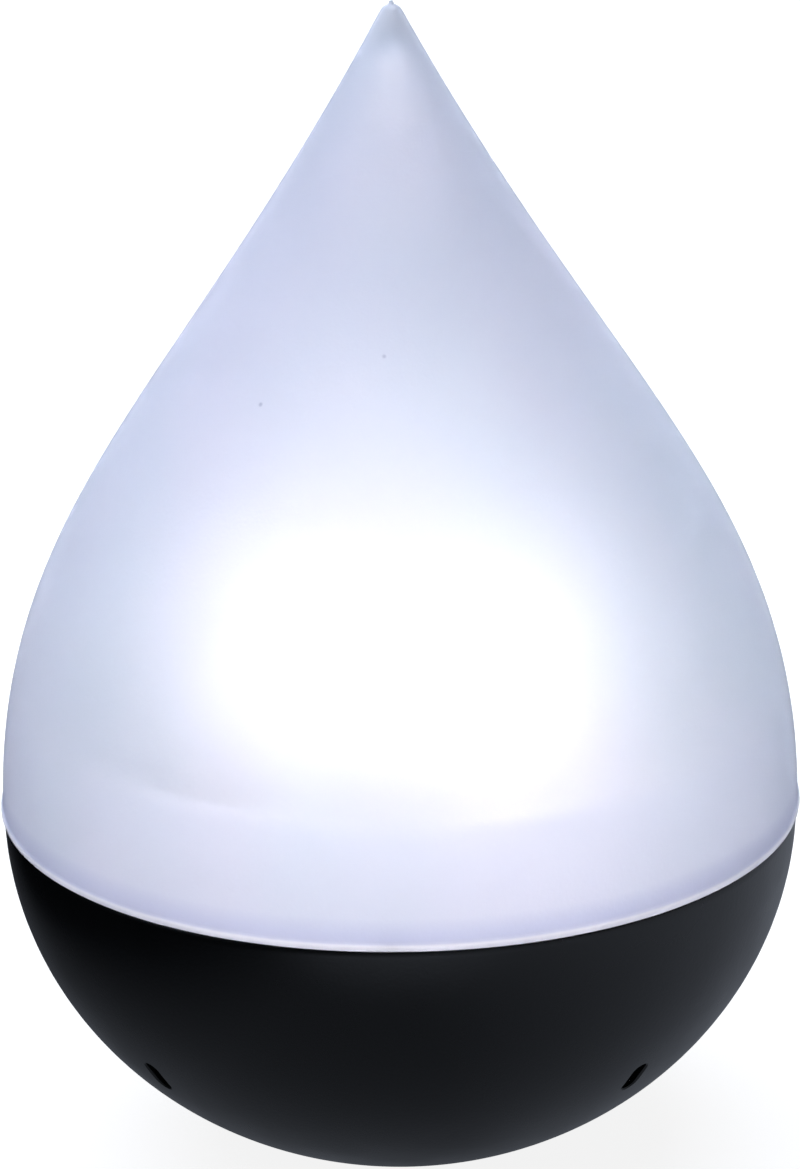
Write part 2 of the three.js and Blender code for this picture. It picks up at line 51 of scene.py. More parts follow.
# ---- Sizes shared with the frame. Rings of pieces are (count, radius, start angle) ----
FOOT_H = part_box("base_shell")[0].z / MM
SEAM_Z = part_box("cover_shell")[0].z / MM
BODY_R = 110
COVER_H = 2.03 * BODY_R
COVER_WALL = 2.2
TIP_R = 0.025 * BODY_R
BOWL_R = 0.9973 * BODY_R
BOWL_B = 0.9176 * BODY_R
BOWL_DEPTH = SEAM_Z - FOOT_H
BOWL_WALL = 2.6
GAP = 0.3
AIR_X = -44
FLOAT_X = 44
FLANGE_SCREWS = (3, 102.9, math.pi / 6)
HATCH_SCREWS = (4, 35.5, 0)
FEET = (4, 30, math.pi / 4)


# ---- Camera: a long lens, a little above the object and just right of its front ----
def make_camera():
    elevation = math.radians(21.64)
    distance = 14 * BODY_R * MM
    aim_height = 0.532 * BODY_R * MM
    aim_right = 0.6 * MM
    seam = Vector((0, 0, SEAM_Z * MM))
    back = Vector((0, -math.cos(elevation), math.sin(elevation)))
    picture_up = Vector((0, math.sin(elevation), math.cos(elevation)))
    aim = seam + aim_height * picture_up + Vector((aim_right, 0, 0))
    data = bpy.data.cameras.new("camera")
    data.sensor_width = 36
    data.lens = 170.73
    camera = bpy.data.objects.new("camera", data)
    place = seam + distance * back
    look = (aim - place).to_track_quat("-Z", "Y").to_matrix().to_4x4()
    roll = Matrix.Rotation(math.radians(-0.65), 4, "Z")
    orbit = Matrix.Rotation(math.radians(1.8), 4, "Z")
    camera.matrix_world = orbit @ Matrix.Translation(place) @ look @ roll
    bpy.context.scene.collection.objects.link(camera)
    bpy.context.scene.camera = camera


# ---- Mesh helpers ----
def link(name, mesh):
    piece = bpy.data.objects.new(name, mesh)
    bpy.context.scene.collection.objects.link(piece)
    return piece


def settle_normals(mesh, sharp=35):
    """Merges doubles, points faces outwards and keeps edges over sharp degrees crisp."""
    work = bmesh.new()
    work.from_mesh(mesh)
    bmesh.ops.remove_doubles(work, verts=work.verts, dist=1e-7)
    bmesh.ops.recalc_face_normals(work, faces=work.faces)
    work.to_mesh(mesh)
    work.free()
    mesh.shade_smooth()
    mesh.set_sharp_from_angle(angle=math.radians(sharp))


def solid(name, points, faces, sharp=35):
    """A piece made from points in millimetres."""
    mesh = bpy.data.meshes.new(name)
    mesh.from_pydata([Vector(p) * MM for p in points], [], faces)
    settle_normals(mesh, sharp)
    return link(name, mesh)


def soft(outline, radius, steps=4):
    """The outline with each corner rounded. Points on the axis stay as they are."""
    count = len(outline)
    nearly_straight = math.radians(172)
    rounded = []
    for i, point in enumerate(outline):
        here = Vector(point)
        to_before = Vector(outline[i - 1]) - here
        to_after = Vector(outline[(i + 1) % count]) - here
        turn = to_before.angle(to_after, math.pi)
        if here.x < 1e-6 or turn > nearly_straight:
            rounded.append(tuple(here))
            continue
        reach = min(radius / math.tan(turn / 2), 0.45 * to_before.length, 0.45 * to_after.length)
        start = here + to_before.normalized() * reach
        end = here + to_after.normalized() * reach
        for k in range(steps + 1):
            t = k / steps
            spot = (1 - t) ** 2 * start + 2 * t * (1 - t) * here + t * t * end
            rounded.append(tuple(spot))
    return rounded


def rod(radius, bottom, top):
    """The outline of a plain rod about Z."""
    return [(0, bottom), (radius, bottom), (radius, top), (0, top)]


def turned(name, outline, sides=96, sharp=35):
    """A closed solid turned about Z from [radius, height] points."""
    points, faces, rings = [], [], []
    for radius, height in outline:
        count = 1 if radius < 1e-6 else sides
        start = len(points)
        for i in range(count):
            angle = TAU * i / sides
            points.append((radius * math.cos(angle), radius * math.sin(angle), height))
        rings.append(list(range(start, start + count)))
    pairs = list(zip(rings, rings[1:]))
    if len(rings[0]) > 1 or len(rings[-1]) > 1:
        pairs.append((rings[-1], rings[0]))
    for lower, upper in pairs:
        for i in range(sides):
            j = (i + 1) % sides
            corners = [
                lower[i % len(lower)],
                lower[j % len(lower)],
                upper[j % len(upper)],
                upper[i % len(upper)],
            ]
            face = list(dict.fromkeys(corners))
            if len(face) > 2:
                faces.append(face)
    return solid(name, points, faces, sharp)


def rounded_rectangle(width, height, corner, steps=6):
    """A loop of points round a rectangle with quarter-circle corners."""
    loop = []
    for k, (sx, sy) in enumerate([(1, -1), (1, 1), (-1, 1), (-1, -1)]):
        middle = Vector((sx * (width / 2 - corner), sy * (height / 2 - corner)))
        for i in range(steps + 1):
            angle = (k - 1 + i / steps) * math.pi / 2
            loop.append((middle.x + corner * math.cos(angle), middle.y + corner * math.sin(angle)))
    return loop


def stacked(name, loops):
    """A closed solid skinned over flat loops of equal count, each with its height."""
    points, faces = [], []
    count = len(loops[0][0])
    for loop, height in loops:
        points += [(x, y, height) for x, y in loop]
    for k in range(len(loops) - 1):
        for i in range(count):
            j = (i + 1) % count
            row, above = k * count, (k + 1) * count
            faces.append([row + i, row + j, above + j, above + i])
    faces.append(list(range(count))[::-1])
    last = (len(loops) - 1) * count
    faces.append([last + i for i in range(count)])
    return solid(name, points, faces)


def slab(name, width, height, corner, bottom, top, bevel=0.0):
    """A rounded rectangular plate, with its top and bottom edges bevelled."""
    full = rounded_rectangle(width, height, corner)
    if bevel == 0:
        return stacked(name, [(full, bottom), (full, top)])
    inner_corner = max(corner - bevel, 0.05)
    less = rounded_rectangle(width - 2 * bevel, height - 2 * bevel, inner_corner)
    loops = [(less, bottom), (full, bottom + bevel), (full, top - bevel), (less, top)]
    return stacked(name, loops)


def moved(piece, matrix):
    """Moves the mesh itself, by a matrix in millimetres."""
    shift = matrix.copy()
    shift.translation = shift.translation * MM
    piece.data.transform(shift)
    return piece


def shifted(piece, x=0, y=0, z=0):
    return moved(piece, Matrix.Translation((x, y, z)))


def spun(piece, degrees, axis="Z"):
    return moved(piece, Matrix.Rotation(math.radians(degrees), 4, axis))


def combine(piece, other, operation):
    """Joins, cuts or intersects a piece with another solid, which is used up."""
    step = piece.modifiers.new(operation, "BOOLEAN")
    step.operation = operation
    step.object = other
    step.solver = "MANIFOLD"
    bpy.context.view_layer.update()
    graph = bpy.context.evaluated_depsgraph_get()
    mesh = bpy.data.meshes.new_from_object(piece.evaluated_get(graph))
    piece.modifiers.clear()
    old = piece.data
    piece.data = mesh
    bpy.data.meshes.remove(old)
    mesh.name = piece.name
    bpy.data.objects.remove(other)
    settle_normals(mesh)


def cut(piece, *others):
    for other in others:
        combine(piece, other, "DIFFERENCE")


def fuse(piece, *others):
    for other in others:
        combine(piece, other, "UNION")


def frame_at(point, direction):
    """Local Z along a direction at a point, with local X level."""
    z = direction.normalized()
    x = UP.cross(z).normalized()
    y = z.cross(x)
    matrix = Matrix((x, y, z)).transposed().to_4x4()
    matrix.translation = point
    return matrix


def around(count, radius, start=0.0):
    """Evenly spaced places on a circle about Z."""
    return [
        (radius * math.cos(start + i * TAU / count), radius * math.sin(start + i * TAU / count))
        for i in range(count)
    ]


# ---- Materials ----
class Paint:
    """A Principled material, with helpers that feed it from object coordinates."""

    def __init__(self, name, **values):
        self.material = bpy.data.materials.new(name)
        self.material.use_nodes = True
        self.tree = self.material.node_tree
        self.shader = self.tree.nodes["Principled BSDF"]
        for key, value in values.items():
            socket = self.shader.inputs[key.replace("_", " ")]
            socket.default_value = (*value, 1) if isinstance(value, tuple) else value
        self.place = self.tree.nodes.new("ShaderNodeTexCoord").outputs["Object"]

    def node(self, kind, **settings):
        """A node with its properties and its inputs' plain values set by name."""
        made = self.tree.nodes.new(kind)
        for key, value in settings.items():
            if hasattr(made, key):
                setattr(made, key, value)
            else:
                made.inputs[key.replace("_", " ")].default_value = value
        return made

    def link(self, source, target):
        self.tree.links.new(source, target)

    def noise(self, scale, detail=3.0, stretch=(1, 1, 1)):
        """Noise with features of about 1/scale metres, made finer along each axis by stretch."""
        mapping = self.node("ShaderNodeMapping")
        mapping.inputs["Scale"].default_value = stretch
        self.link(self.place, mapping.inputs["Vector"])
        made = self.node("ShaderNodeTexNoise", Scale=scale, Detail=detail, Roughness=0.5)
        self.link(mapping.outputs["Vector"], made.inputs["Vector"])
        return made.outputs["Fac"]

    def spots(self, scale, reach):
        """1 in small sparse dots, 0 elsewhere."""
        cells = self.node("ShaderNodeTexVoronoi", Scale=scale)
        self.link(self.place, cells.inputs["Vector"])
        return self.spread(cells.outputs["Distance"], (reach, 0.4 * reach), (0, 1))

    def along(self, axis):
        """The distance along one axis, in metres."""
        split = self.node("ShaderNodeSeparateXYZ")
        self.link(self.place, split.inputs["Vector"])
        return split.outputs[axis]

    def spread(self, source, start, end):
        """Maps the range start to the range end, clamped."""
        made = self.node("ShaderNodeMapRange")
        for key, value in zip(("From Min", "From Max", "To Min", "To Max"), (*start, *end)):
            made.inputs[key].default_value = value
        self.link(source, made.inputs["Value"])
        return made.outputs["Result"]

    def add(self, first, second):
        made = self.node("ShaderNodeMath", operation="ADD")
        self.link(first, made.inputs[0])
        self.link(second, made.inputs[1])
        return made.outputs["Value"]

    def mix(self, factor, first, second):
        """The first colour at factor 0, the second at 1."""
        made = self.node("ShaderNodeMix", data_type="RGBA")
        self.link(factor, made.inputs["Factor"])
        for socket, value in ((made.inputs[6], first), (made.inputs[7], second)):
            if isinstance(value, tuple):
                socket.default_value = (*value, 1)
            else:
                self.link(value, socket)
        return made.outputs[2]

    def feed(self, source, socket):
        self.link(source, self.shader.inputs[socket])

    def colour(self, source):
        self.feed(source, "Base Color")

    def rough(self, source, low, high):
        self.feed(self.spread(source, (0.3, 0.7), (low, high)), "Roughness")

    def bump(self, source, height_mm):
        made = self.node("ShaderNodeBump", Strength=1.0, Distance=height_mm * MM)
        self.link(source, made.inputs["Height"])
        self.feed(made.outputs["Normal"], "Normal")


def frosted_cover():
    """Milky bluish plastic that passes a blurred glow, with a faint mottled tint.

    The foot bead has a painted highlight, paler and faintly glowing, where it catches the light,
    and the band just above it has a painted shade.
    """
    paint = Paint("frosted_cover", IOR=1.46, Transmission_Weight=0.6, Specular_IOR_Level=0.3)
    tint = paint.noise(14, 2.0, (1, 1, 0.6))
    blue, lilac = (0.79, 0.835, 0.9), (0.82, 0.835, 0.91)
    body = paint.mix(paint.spread(tint, (0.35, 0.65), (0, 1)), blue, lilac)
    above = paint.along("Z")
    # Painted shade: from 9 mm down to 2.5 mm above the seam the colour darkens toward a dim blue.
    shade = paint.spread(above, ((SEAM_Z + 9) * MM, (SEAM_Z + 2.5) * MM), (0, 1))
    body = paint.mix(shade, body, (0.63, 0.66, 0.8))
    # Painted highlight: the foot bead is made paler and given a faint glow.
    bead = paint.spread(above, ((SEAM_Z + 2.1) * MM, (SEAM_Z + 1.6) * MM), (0, 1))
    body = paint.mix(bead, body, (0.87, 0.87, 0.91))
    paint.feed(paint.spread(bead, (0, 1), (0, 0.045)), "Emission Strength")
    speck = paint.spots(38, 0.03)
    paint.colour(paint.mix(speck, body, (0.5, 0.53, 0.62)))
    paint.rough(paint.noise(60, 4.0), 0.7, 0.78)
    paint.bump(paint.noise(900, 2.0), 0.03)
    return paint.material


def milky(name, colour, glow, passing):
    """Moulded translucent plastic with a painted glow: emission that stands in for some of the
    lamp's light held in it.
    """
    # The glow is painted light: emission on a part that is no lamp.
    paint = Paint(
        name,
        IOR=1.46,
        Transmission_Weight=passing,
        Emission_Color=(0.99, 0.94, 0.95),
        Emission_Strength=glow,
    )
    tint = paint.noise(25, 3.0)
    paler = tuple(min(1.0, 1.05 * c) for c in colour)
    paint.colour(paint.mix(tint, colour, paler))
    paint.rough(paint.noise(90, 3.0), 0.34, 0.46)
    paint.bump(paint.noise(500, 2.0), 0.02)
    return paint.material


def moulded(name, colour, low, high, grain=900, depth=0.03):
    """Opaque moulded plastic: faint cloudiness, worn gloss and a fine grain."""
    paint = Paint(name)
    cloud = paint.noise(18, 4.0)
    darker = tuple(0.8 * c for c in colour)
    lighter = tuple(1.25 * c for c in colour)
    paint.colour(paint.mix(cloud, darker, lighter))
    paint.rough(paint.noise(35, 5.0), low, high)
    paint.bump(paint.noise(grain, 2.0), depth)
    return paint.material


def metal(name, colour, low, high, stretch=(1, 1, 12)):
    """Bare metal with fine streaks, which lie across the stretched axis."""
    paint = Paint(name, Metallic=1.0)
    streak = paint.noise(300, 3.0, stretch)
    darker = tuple(0.8 * c for c in colour)
    paint.colour(paint.mix(streak, darker, colour))
    paint.rough(streak, low, high)
    paint.bump(streak, 0.015)
    return paint.material


def board():
    """Green solder mask over copper tracks, with bare pads."""
    paint = Paint("board")
    cells = paint.node("ShaderNodeTexBrick", Scale=260.0, Mortar_Size=0.03)
    paint.link(paint.place, cells.inputs["Vector"])
    track = paint.mix(cells.outputs["Fac"], (0.012, 0.11, 0.05), (0.03, 0.2, 0.09))
    paint.colour(paint.mix(paint.spots(230, 0.16), track, (0.7, 0.68, 0.6)))
    paint.rough(paint.noise(200, 2.0), 0.3, 0.5)
    paint.bump(cells.outputs["Fac"], 0.05)
    return paint.material


def lamp():
    """The warm phosphor of a lit lamp."""
    paint = Paint("lamp", Emission_Color=(0.9, 0.94, 1.0), Emission_Strength=6.0, Roughness=0.3)
    paint.colour(paint.mix(paint.noise(300), (0.9, 0.85, 0.6), (1, 0.97, 0.85)))
    return paint.material


MATERIALS = {
    "frosted_cover": frosted_cover(),
    # clear_plastic and basin_plastic carry a painted glow (the third value): emission that stands
    # in for the lamp's light scattered in them.
    "clear_plastic": milky("clear_plastic", (0.5, 0.54, 0.6), 0.2, 0.3),
    "basin_plastic": milky("basin_plastic", (0.88, 0.895, 0.93), 0.6, 0.85),
    "tub_plastic": milky("tub_plastic", (0.64, 0.655, 0.68), 0.0, 0.0),
    "outlet_plastic": milky("outlet_plastic", (0.42, 0.45, 0.52), 0.0, 0.0),
    "black_plastic": moulded("black_plastic", (0.003, 0.0035, 0.004), 0.24, 0.34),
    "dark_plastic": moulded("dark_plastic", (0.05, 0.052, 0.056), 0.42, 0.58, 700, 0.08),
    "rubber_feet": moulded("rubber_feet", (0.016, 0.016, 0.017), 0.75, 0.9, 1400, 0.06),
    "steel": metal("steel", (0.62, 0.63, 0.65), 0.22, 0.38),
    "silicone": moulded("silicone", (0.6, 0.62, 0.66), 0.5, 0.7, 600, 0.03),
    "float_foam": moulded("float_foam", (0.5, 0.5, 0.47), 0.6, 0.8, 1600, 0.25),
    "brass": metal("brass", (0.72, 0.56, 0.27), 0.2, 0.4, (1, 1, 1)),
    "aluminium": metal("aluminium", (0.7, 0.71, 0.73), 0.3, 0.45, (1, 14, 1)),
    "board": board(),
    "lamp": lamp(),
    "copper": metal("copper", (0.72, 0.33, 0.16), 0.25, 0.4, (1, 1, 40)),
    "white_button": moulded("white_button", (0.75, 0.77, 0.8), 0.35, 0.5, 800, 0.02),
    "wire": moulded("wire", (0.14, 0.014, 0.012), 0.4, 0.55, 400, 0.02),
}


def dress(piece, body, slot, *nodes, material=None):
    """Gives a new piece its material, named by slot unless material is given, and its body, and
    hides the nodes it stands for.
    """
    piece.data.materials.clear()
    piece.data.materials.append(MATERIALS[material or slot])
    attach(piece, body)
    if nodes:
        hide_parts(*nodes)


# ---- Outlines of the two shells ----
def cover_point(t, inset=0.0):
    """A point of the cover's side, from the tip at 0 to the seam at 1, moved in by inset.

    The side is a Bezier curve that leaves the tip at 28 degrees and meets the seam upright.
    """
    lean = math.radians(28)
    tip_pull, seam_pull = 1.111 * BODY_R, 0.7528 * BODY_R
    a = Vector((TIP_R, COVER_H))
    b = a + tip_pull * Vector((math.sin(lean), -math.cos(lean)))
    c = Vector((BODY_R, seam_pull))
    d = Vector((BODY_R, 0))
    s = 1 - t
    point = s**3 * a + 3 * s * s * t * b + 3 * s * t * t * c + t**3 * d
    tangent = (s * s * (b - a) + 2 * s * t * (c - b) + t * t * (d - c)).normalized()
    return (point.x + inset * tangent.y, SEAM_Z + point.y - inset * tangent.x)


def cover_slope(t):
    """The direction of the cover's side, down towards the seam."""
    (x0, z0), (x1, z1) = cover_point(t - 0.001), cover_point(t + 0.001)
    return Vector((x1 - x0, z1 - z0)).normalized()


def bowl_radius(depth):
    """The bowl is an ellipsoid, cut flat at its foot. Depths run down from the seam."""
    return BOWL_R * math.sqrt(1 - (depth / BOWL_B) ** 2)


def bowl_points(start, end, steps, inset=0.0):
    """The bowl's outline between two depths, moved in by inset."""
    b = BOWL_B - inset
    first, last = math.asin(start / b), math.asin(end / b)
    angles = [first + (last - first) * i / steps for i in range(steps + 1)]
    return [((BOWL_R - inset) * math.cos(a), SEAM_Z - b * math.sin(a)) for a in angles]


def bowl_normal(azimuth, depth):
    """The outward direction of the bowl's side, with azimuth 0 at the front."""
    r = bowl_radius(depth) / BOWL_R**2
    down = -depth / BOWL_B**2
    return Vector((r * math.sin(azimuth), -r * math.cos(azimuth), down)).normalized()


def bowl_spot(azimuth, depth):
    """A point of the bowl's side."""
    r = bowl_radius(depth)
    return Vector((r * math.sin(azimuth), -r * math.cos(azimuth), SEAM_Z - depth))


# ---- Cover ----
OUTLET_T = 0.27
OUTLET_R = 12
OUTLET_WALL = 1.6
outlet_slope = cover_slope(OUTLET_T)
outlet_y, outlet_z = cover_point(OUTLET_T)
outlet_frame = frame_at(
    Vector((0, outlet_y, outlet_z)), Vector((0, -outlet_slope.y, outlet_slope.x))
)


def make_cover():
    """The frosted shell: moulding nub, rounded tip, side, foot bead, then back up inside."""
    top = SEAM_Z + COVER_H
    outer = [cover_point(0.004 + 0.972 * i / 70) for i in range(71)]
    inner = [cover_point(0.99 - 0.955 * i / 54, COVER_WALL) for i in range(55)]
    end_r, end_z = inner[-1]
    nub = [(0, top + 2.4), (0.36, top + 2.32), (0.64, top + 1.95), (0.85, top + 1.45)]
    cap = [
        (1.1, top + 1.22),
        (1.6, top + 1.0),
        (2.05, top + 0.72),
        (2.4, top + 0.38),
        (2.62, top + 0.1),
    ]
    bead = [
        (BODY_R - 0.02, SEAM_Z + 2.7),
        (BODY_R + 0.05, SEAM_Z + 2.2),
        (BODY_R + 0.3, SEAM_Z + 1.85),
        (BODY_R + 0.5, SEAM_Z + 1.5),
        (BODY_R + 0.55, SEAM_Z + 1.1),
        (BODY_R + 0.5, SEAM_Z + 0.6),
        (BODY_R + 0.35, SEAM_Z + 0.22),
        (BODY_R + 0.05, SEAM_Z),
        (BODY_R - COVER_WALL + 0.3, SEAM_Z),
        (BODY_R - COVER_WALL, SEAM_Z + 0.3),
    ]
    roof = [(0.55 * end_r, end_z + 0.35 * end_r), (0, end_z + 0.48 * end_r)]
    cover = turned("frosted_shell", nub + cap + outer + bead + inner + roof, 160, 40)
    hole_r = OUTLET_R + GAP
    hole = turned("hole", rod(hole_r, -12, 12), 64)
    flare = turned("flare", [(0, -0.6), (hole_r, -0.6), (OUTLET_R + 3.2, 2.3), (0, 2.3)], 64)
    cut(cover, moved(hole, outlet_frame), moved(flare, outlet_frame))
    dress(cover, "cover", "frosted_cover", "cover_shell")


def make_spout():
    """The outlet's short collar in the back of the cover."""
    outline = [
        (OUTLET_R - OUTLET_WALL, -8),
        (OUTLET_R, -8),
        (OUTLET_R, 1.6),
        (OUTLET_R - 0.6, 2.2),
        (OUTLET_R - OUTLET_WALL, 2.2),
    ]
    spout = moved(turned("mist_spout", soft(outline, 0.5), 64), outlet_frame)
    dress(spout, "cover", "clear_plastic", "mist_outlet", material="outlet_plastic")


# ---- Mist tube, basin and float ----
FLOOR_TOP = 47
FLOOR_BOTTOM = 44.6
TUBE_FOOT = FLOOR_TOP + 0.6
TUBE_TOP = SEAM_Z + 70
SEAT_BOTTOM = 40.2
FLANGE_R = 106.4
FLANGE_TOP = SEAM_Z - 1.4
FLANGE_BOTTOM = SEAM_Z - 3.6
POST_TOP = FLOOR_TOP + 24


def make_mist_tube():
    """A loose tapering tube with four notches in its foot."""
    outline = [
        (18.6, TUBE_FOOT),
        (20.4, TUBE_FOOT),
        (15.6, TUBE_TOP - 2.4),
        (16.4, TUBE_TOP - 1.6),
        (16.4, TUBE_TOP),
        (13.8, TUBE_TOP),
    ]
    tube = turned("mist_chimney", soft(outline, 0.7), 72)
    for turn in (0, 90):
        notch = slab("notch", 8, 16, 2.4, -30, 30)
        spun(notch, 90, "X")
        shifted(notch, z=TUBE_FOOT + 3)
        cut(tube, spun(notch, turn))
    dress(tube, "mist_tube", "clear_plastic", "mist_tube")


def basin_outline():
    """The basin's wall: collar, sump, floor and disc seat inside, then flange and rim outside."""
    collar_r, collar_top = 100.65, SEAM_Z + 31.4
    sump_r, wall = 79.5, 2.2
    inner, sump = collar_r - wall, sump_r - wall
    rim_r, rim_top = FLANGE_R - 0.9, SEAM_Z + 5
    return [
        (inner, collar_top),
        (inner, SEAM_Z - 7),
        (sump + 3, SEAM_Z - 12),
        (sump, SEAM_Z - 16),
        (sump - 1.5, FLOOR_TOP + 6),
        (sump - 6.5, FLOOR_TOP + 1),
        (26, FLOOR_TOP),
        (8.2, FLOOR_TOP - 0.4),
        (8.2, FLOOR_BOTTOM),
        (12.8, FLOOR_BOTTOM),
        (12.8, SEAT_BOTTOM),
        (20.5, SEAT_BOTTOM),
        (20.5, FLOOR_BOTTOM),
        (sump_r - 8, FLOOR_BOTTOM),
        (sump_r - 1.5, FLOOR_TOP + 4),
        (sump_r, SEAM_Z - 17.5),
        (sump_r + 3, SEAM_Z - 14.4),
        (collar_r - 0.6, SEAM_Z - 9),
        (collar_r - 0.6, FLANGE_BOTTOM),
        (FLANGE_R, FLANGE_BOTTOM),
        (FLANGE_R, rim_top),
        (rim_r, rim_top),
        (rim_r, FLANGE_TOP),
        (collar_r, FLANGE_TOP),
        (collar_r, collar_top),
    ]


def make_basin():
    """The basin with its air pipe, float post, screw holes and the fan's two bosses."""
    basin = turned("water_tub", soft(basin_outline(), 1.0), 128)
    root, pipe_top = FLOOR_BOTTOM + 1, SEAM_Z + 14
    pipe = turned("pipe", soft(rod(15, root, pipe_top), 0.7), 64)
    post = turned("post", soft(rod(3.4, root, POST_TOP), 0.5), 32)
    fuse(basin, shifted(pipe, AIR_X), shifted(post, FLOAT_X))
    bore = turned("bore", rod(13, 30, pipe_top + 1), 64)
    hollow = turned("hollow", rod(2, 30, POST_TOP - 3), 24)
    cut(basin, shifted(bore, AIR_X), shifted(hollow, FLOAT_X))
    for x, y in around(*FLANGE_SCREWS):
        cut(basin, shifted(turned("hole", rod(1.6, 80, 100), 24), x, y))
    boss_reach = 20.5
    for sign in (1, -1):
        x, y = AIR_X + sign * boss_reach, -sign * boss_reach
        fuse(basin, shifted(turned("boss", rod(3, 37.3, 45.6), 24), x, y))
        cut(basin, shifted(turned("hole", rod(1.5, 37, 43.6), 24), x, y))
    dress(basin, "base", "basin_plastic", "water_basin")
    # Lit and shaded copies of one plastic: the collar keeps the painted glow, and the sump below
    # SEAM_Z - 4 takes a darker copy with no glow and nothing passing, a painted shade.
    basin.data.materials.append(MATERIALS["tub_plastic"])
    for face in basin.data.polygons:
        if face.center.z < (SEAM_Z - 4) * MM:
            face.material_index = 1


def make_float():
    """The foam ring that rides the post, and the cap that keeps it there."""
    low, high = FLOOR_TOP + 1.2, FLOOR_TOP + 13.2
    outline = soft([(4.2, low), (13, low), (13, high), (4.2, high)], 1.4, 5)
    ring = shifted(turned("float_ring", outline, 64), FLOAT_X)
    dress(ring, "float", "float_foam", "level_float")
    outline = [
        (0, POST_TOP + GAP),
        (3.7, POST_TOP + GAP),
        (3.7, POST_TOP - 2),
        (6.5, POST_TOP - 2),
        (6.5, POST_TOP - 0.6),
        (4.5, POST_TOP + 2),
        (0, POST_TOP + 2.4),
    ]
    cap = shifted(turned("float_cap", soft(outline, 0.5), 48), FLOAT_X)
    dress(cap, "base", "clear_plastic", "float_retainer", material="outlet_plastic")


# ---- Bowl ----
LEDGE_R = 100.8
LEDGE_TOP = SEAM_Z - 5.2
LEDGE_BOTTOM = SEAM_Z - 8.2
HATCH_R = 40
HATCH_TOP = FOOT_H + 2.9
HATCH_LEDGE_R = 31
HATCH_LEDGE_TOP = HATCH_TOP + 3
SLOT_DROP = 0.5115 * BODY_R
PANEL_DROP = 30
PANEL_W = 52
PANEL_H = 26
panel_normal = bowl_normal(math.pi, PANEL_DROP)
panel_frame = Matrix.Rotation(-math.acos(panel_normal.z), 4, "X")
panel_frame.translation = bowl_spot(math.pi, PANEL_DROP) - 4.2 * panel_normal


def slot_cutter():
    """An upright obround slot whose outer edge is eased."""
    width, length, ease = 4.8, 11.5, 1.2
    corner = width / 2 - 0.01
    narrow = rounded_rectangle(width, length, corner, 8)
    wide = rounded_rectangle(width + 2 * ease, length + 2 * ease, corner + ease, 8)
    return stacked("slot", [(narrow, -8), (narrow, -0.55), (wide, 0.65), (wide, 8)])


def bowl_outline():
    """The bowl's wall: from the hatch out and up to the lip, then down inside over the ledge."""
    lip = [
        (BOWL_R - 0.15, SEAM_Z - 0.42),
        (BOWL_R - 0.5, SEAM_Z - 0.3),
        (BOWL_R - BOWL_WALL + 0.4, SEAM_Z - 0.3),
        (BOWL_R - BOWL_WALL, SEAM_Z - 0.7),
    ]
    foot = [(HATCH_R, HATCH_TOP), (HATCH_R, FOOT_H + 0.4), (HATCH_R + 0.4, FOOT_H)]
    side = bowl_points(0.75, BOWL_DEPTH - 0.1, 64)[::-1]
    floor_turn = [(side[0][0] - 0.7, FOOT_H)]
    inner = bowl_points(SEAM_Z - LEDGE_BOTTOM, SEAM_Z - HATCH_LEDGE_TOP, 30, BOWL_WALL)
    inner_top = bowl_points(1.5, SEAM_Z - LEDGE_TOP, 3, BOWL_WALL)
    ledge = [(LEDGE_R, LEDGE_TOP), (LEDGE_R, LEDGE_BOTTOM)]
    hatch = [(HATCH_LEDGE_R, HATCH_LEDGE_TOP), (HATCH_LEDGE_R, HATCH_TOP)]
    return foot + floor_turn + side + lip + inner_top + ledge + inner + hatch


def make_bowl():
    """The satin bowl with four air slots, its screw holes and the panel's window."""
    bowl = turned("satin_bowl", bowl_outline(), 160, 30)
    for i in range(4):
        azimuth = TAU * (i + 0.5) / 4
        spot = frame_at(bowl_spot(azimuth, SLOT_DROP), bowl_normal(azimuth, SLOT_DROP))
        cut(bowl, moved(slot_cutter(), spot))
    for x, y in around(*HATCH_SCREWS):
        cut(bowl, shifted(turned("hole", rod(1.6, 2, 9), 24), x, y))
    for x, y in around(*FLANGE_SCREWS):
        cut(bowl, shifted(turned("hole", rod(1.6, 80, 92), 24), x, y))
    window = slab("window", PANEL_W + 2 * GAP, PANEL_H + 2 * GAP, 4 + GAP, -8, 12)
    cut(bowl, moved(window, panel_frame))
    dress(bowl, "base", "black_plastic", "base_shell")


def groove_cutter(radius, width, bottom, top, sides):
    """A ring about Z that cuts a round groove."""
    edge = radius + width
    outline = [(radius, bottom), (edge, bottom), (edge, top), (radius, top)]
    return turned("groove", outline, sides)


def make_bottom_cover():
    """The hatch with foot wells, sunk screw holes, grooves and the driver board's posts."""
    step = FOOT_H + 1.2
    plate = soft(rod(HATCH_R - GAP, FOOT_H, HATCH_TOP - GAP), 0.4)
    cover = turned("bottom_plate", plate, 128)
    for x, y in around(*FEET):
        cut(cover, shifted(turned("well", rod(6.3, 0, step), 48), x, y))
    for x, y in around(*HATCH_SCREWS):
        sunk = [(0, 0), (3, 0), (3, step), (1.6, step), (1.6, 6), (0, 6)]
        cut(cover, shifted(turned("hole", sunk, 32), x, y))
    for radius in (12, 16, 20):
        cut(cover, groove_cutter(radius, 1, 0, FOOT_H + 0.5, 96))
    post_x, post_y = 18.5, 13.5
    for x, y in ((post_x, post_y), (-post_x, post_y), (-post_x, -post_y), (post_x, -post_y)):
        fuse(cover, shifted(turned("post", rod(2.6, 3.5, 10.7), 24), x, y))
        cut(cover, shifted(turned("hole", rod(1.3, 5.5, 11), 16), x, y))
    dress(cover, "base", "dark_plastic", "bottom_cover")


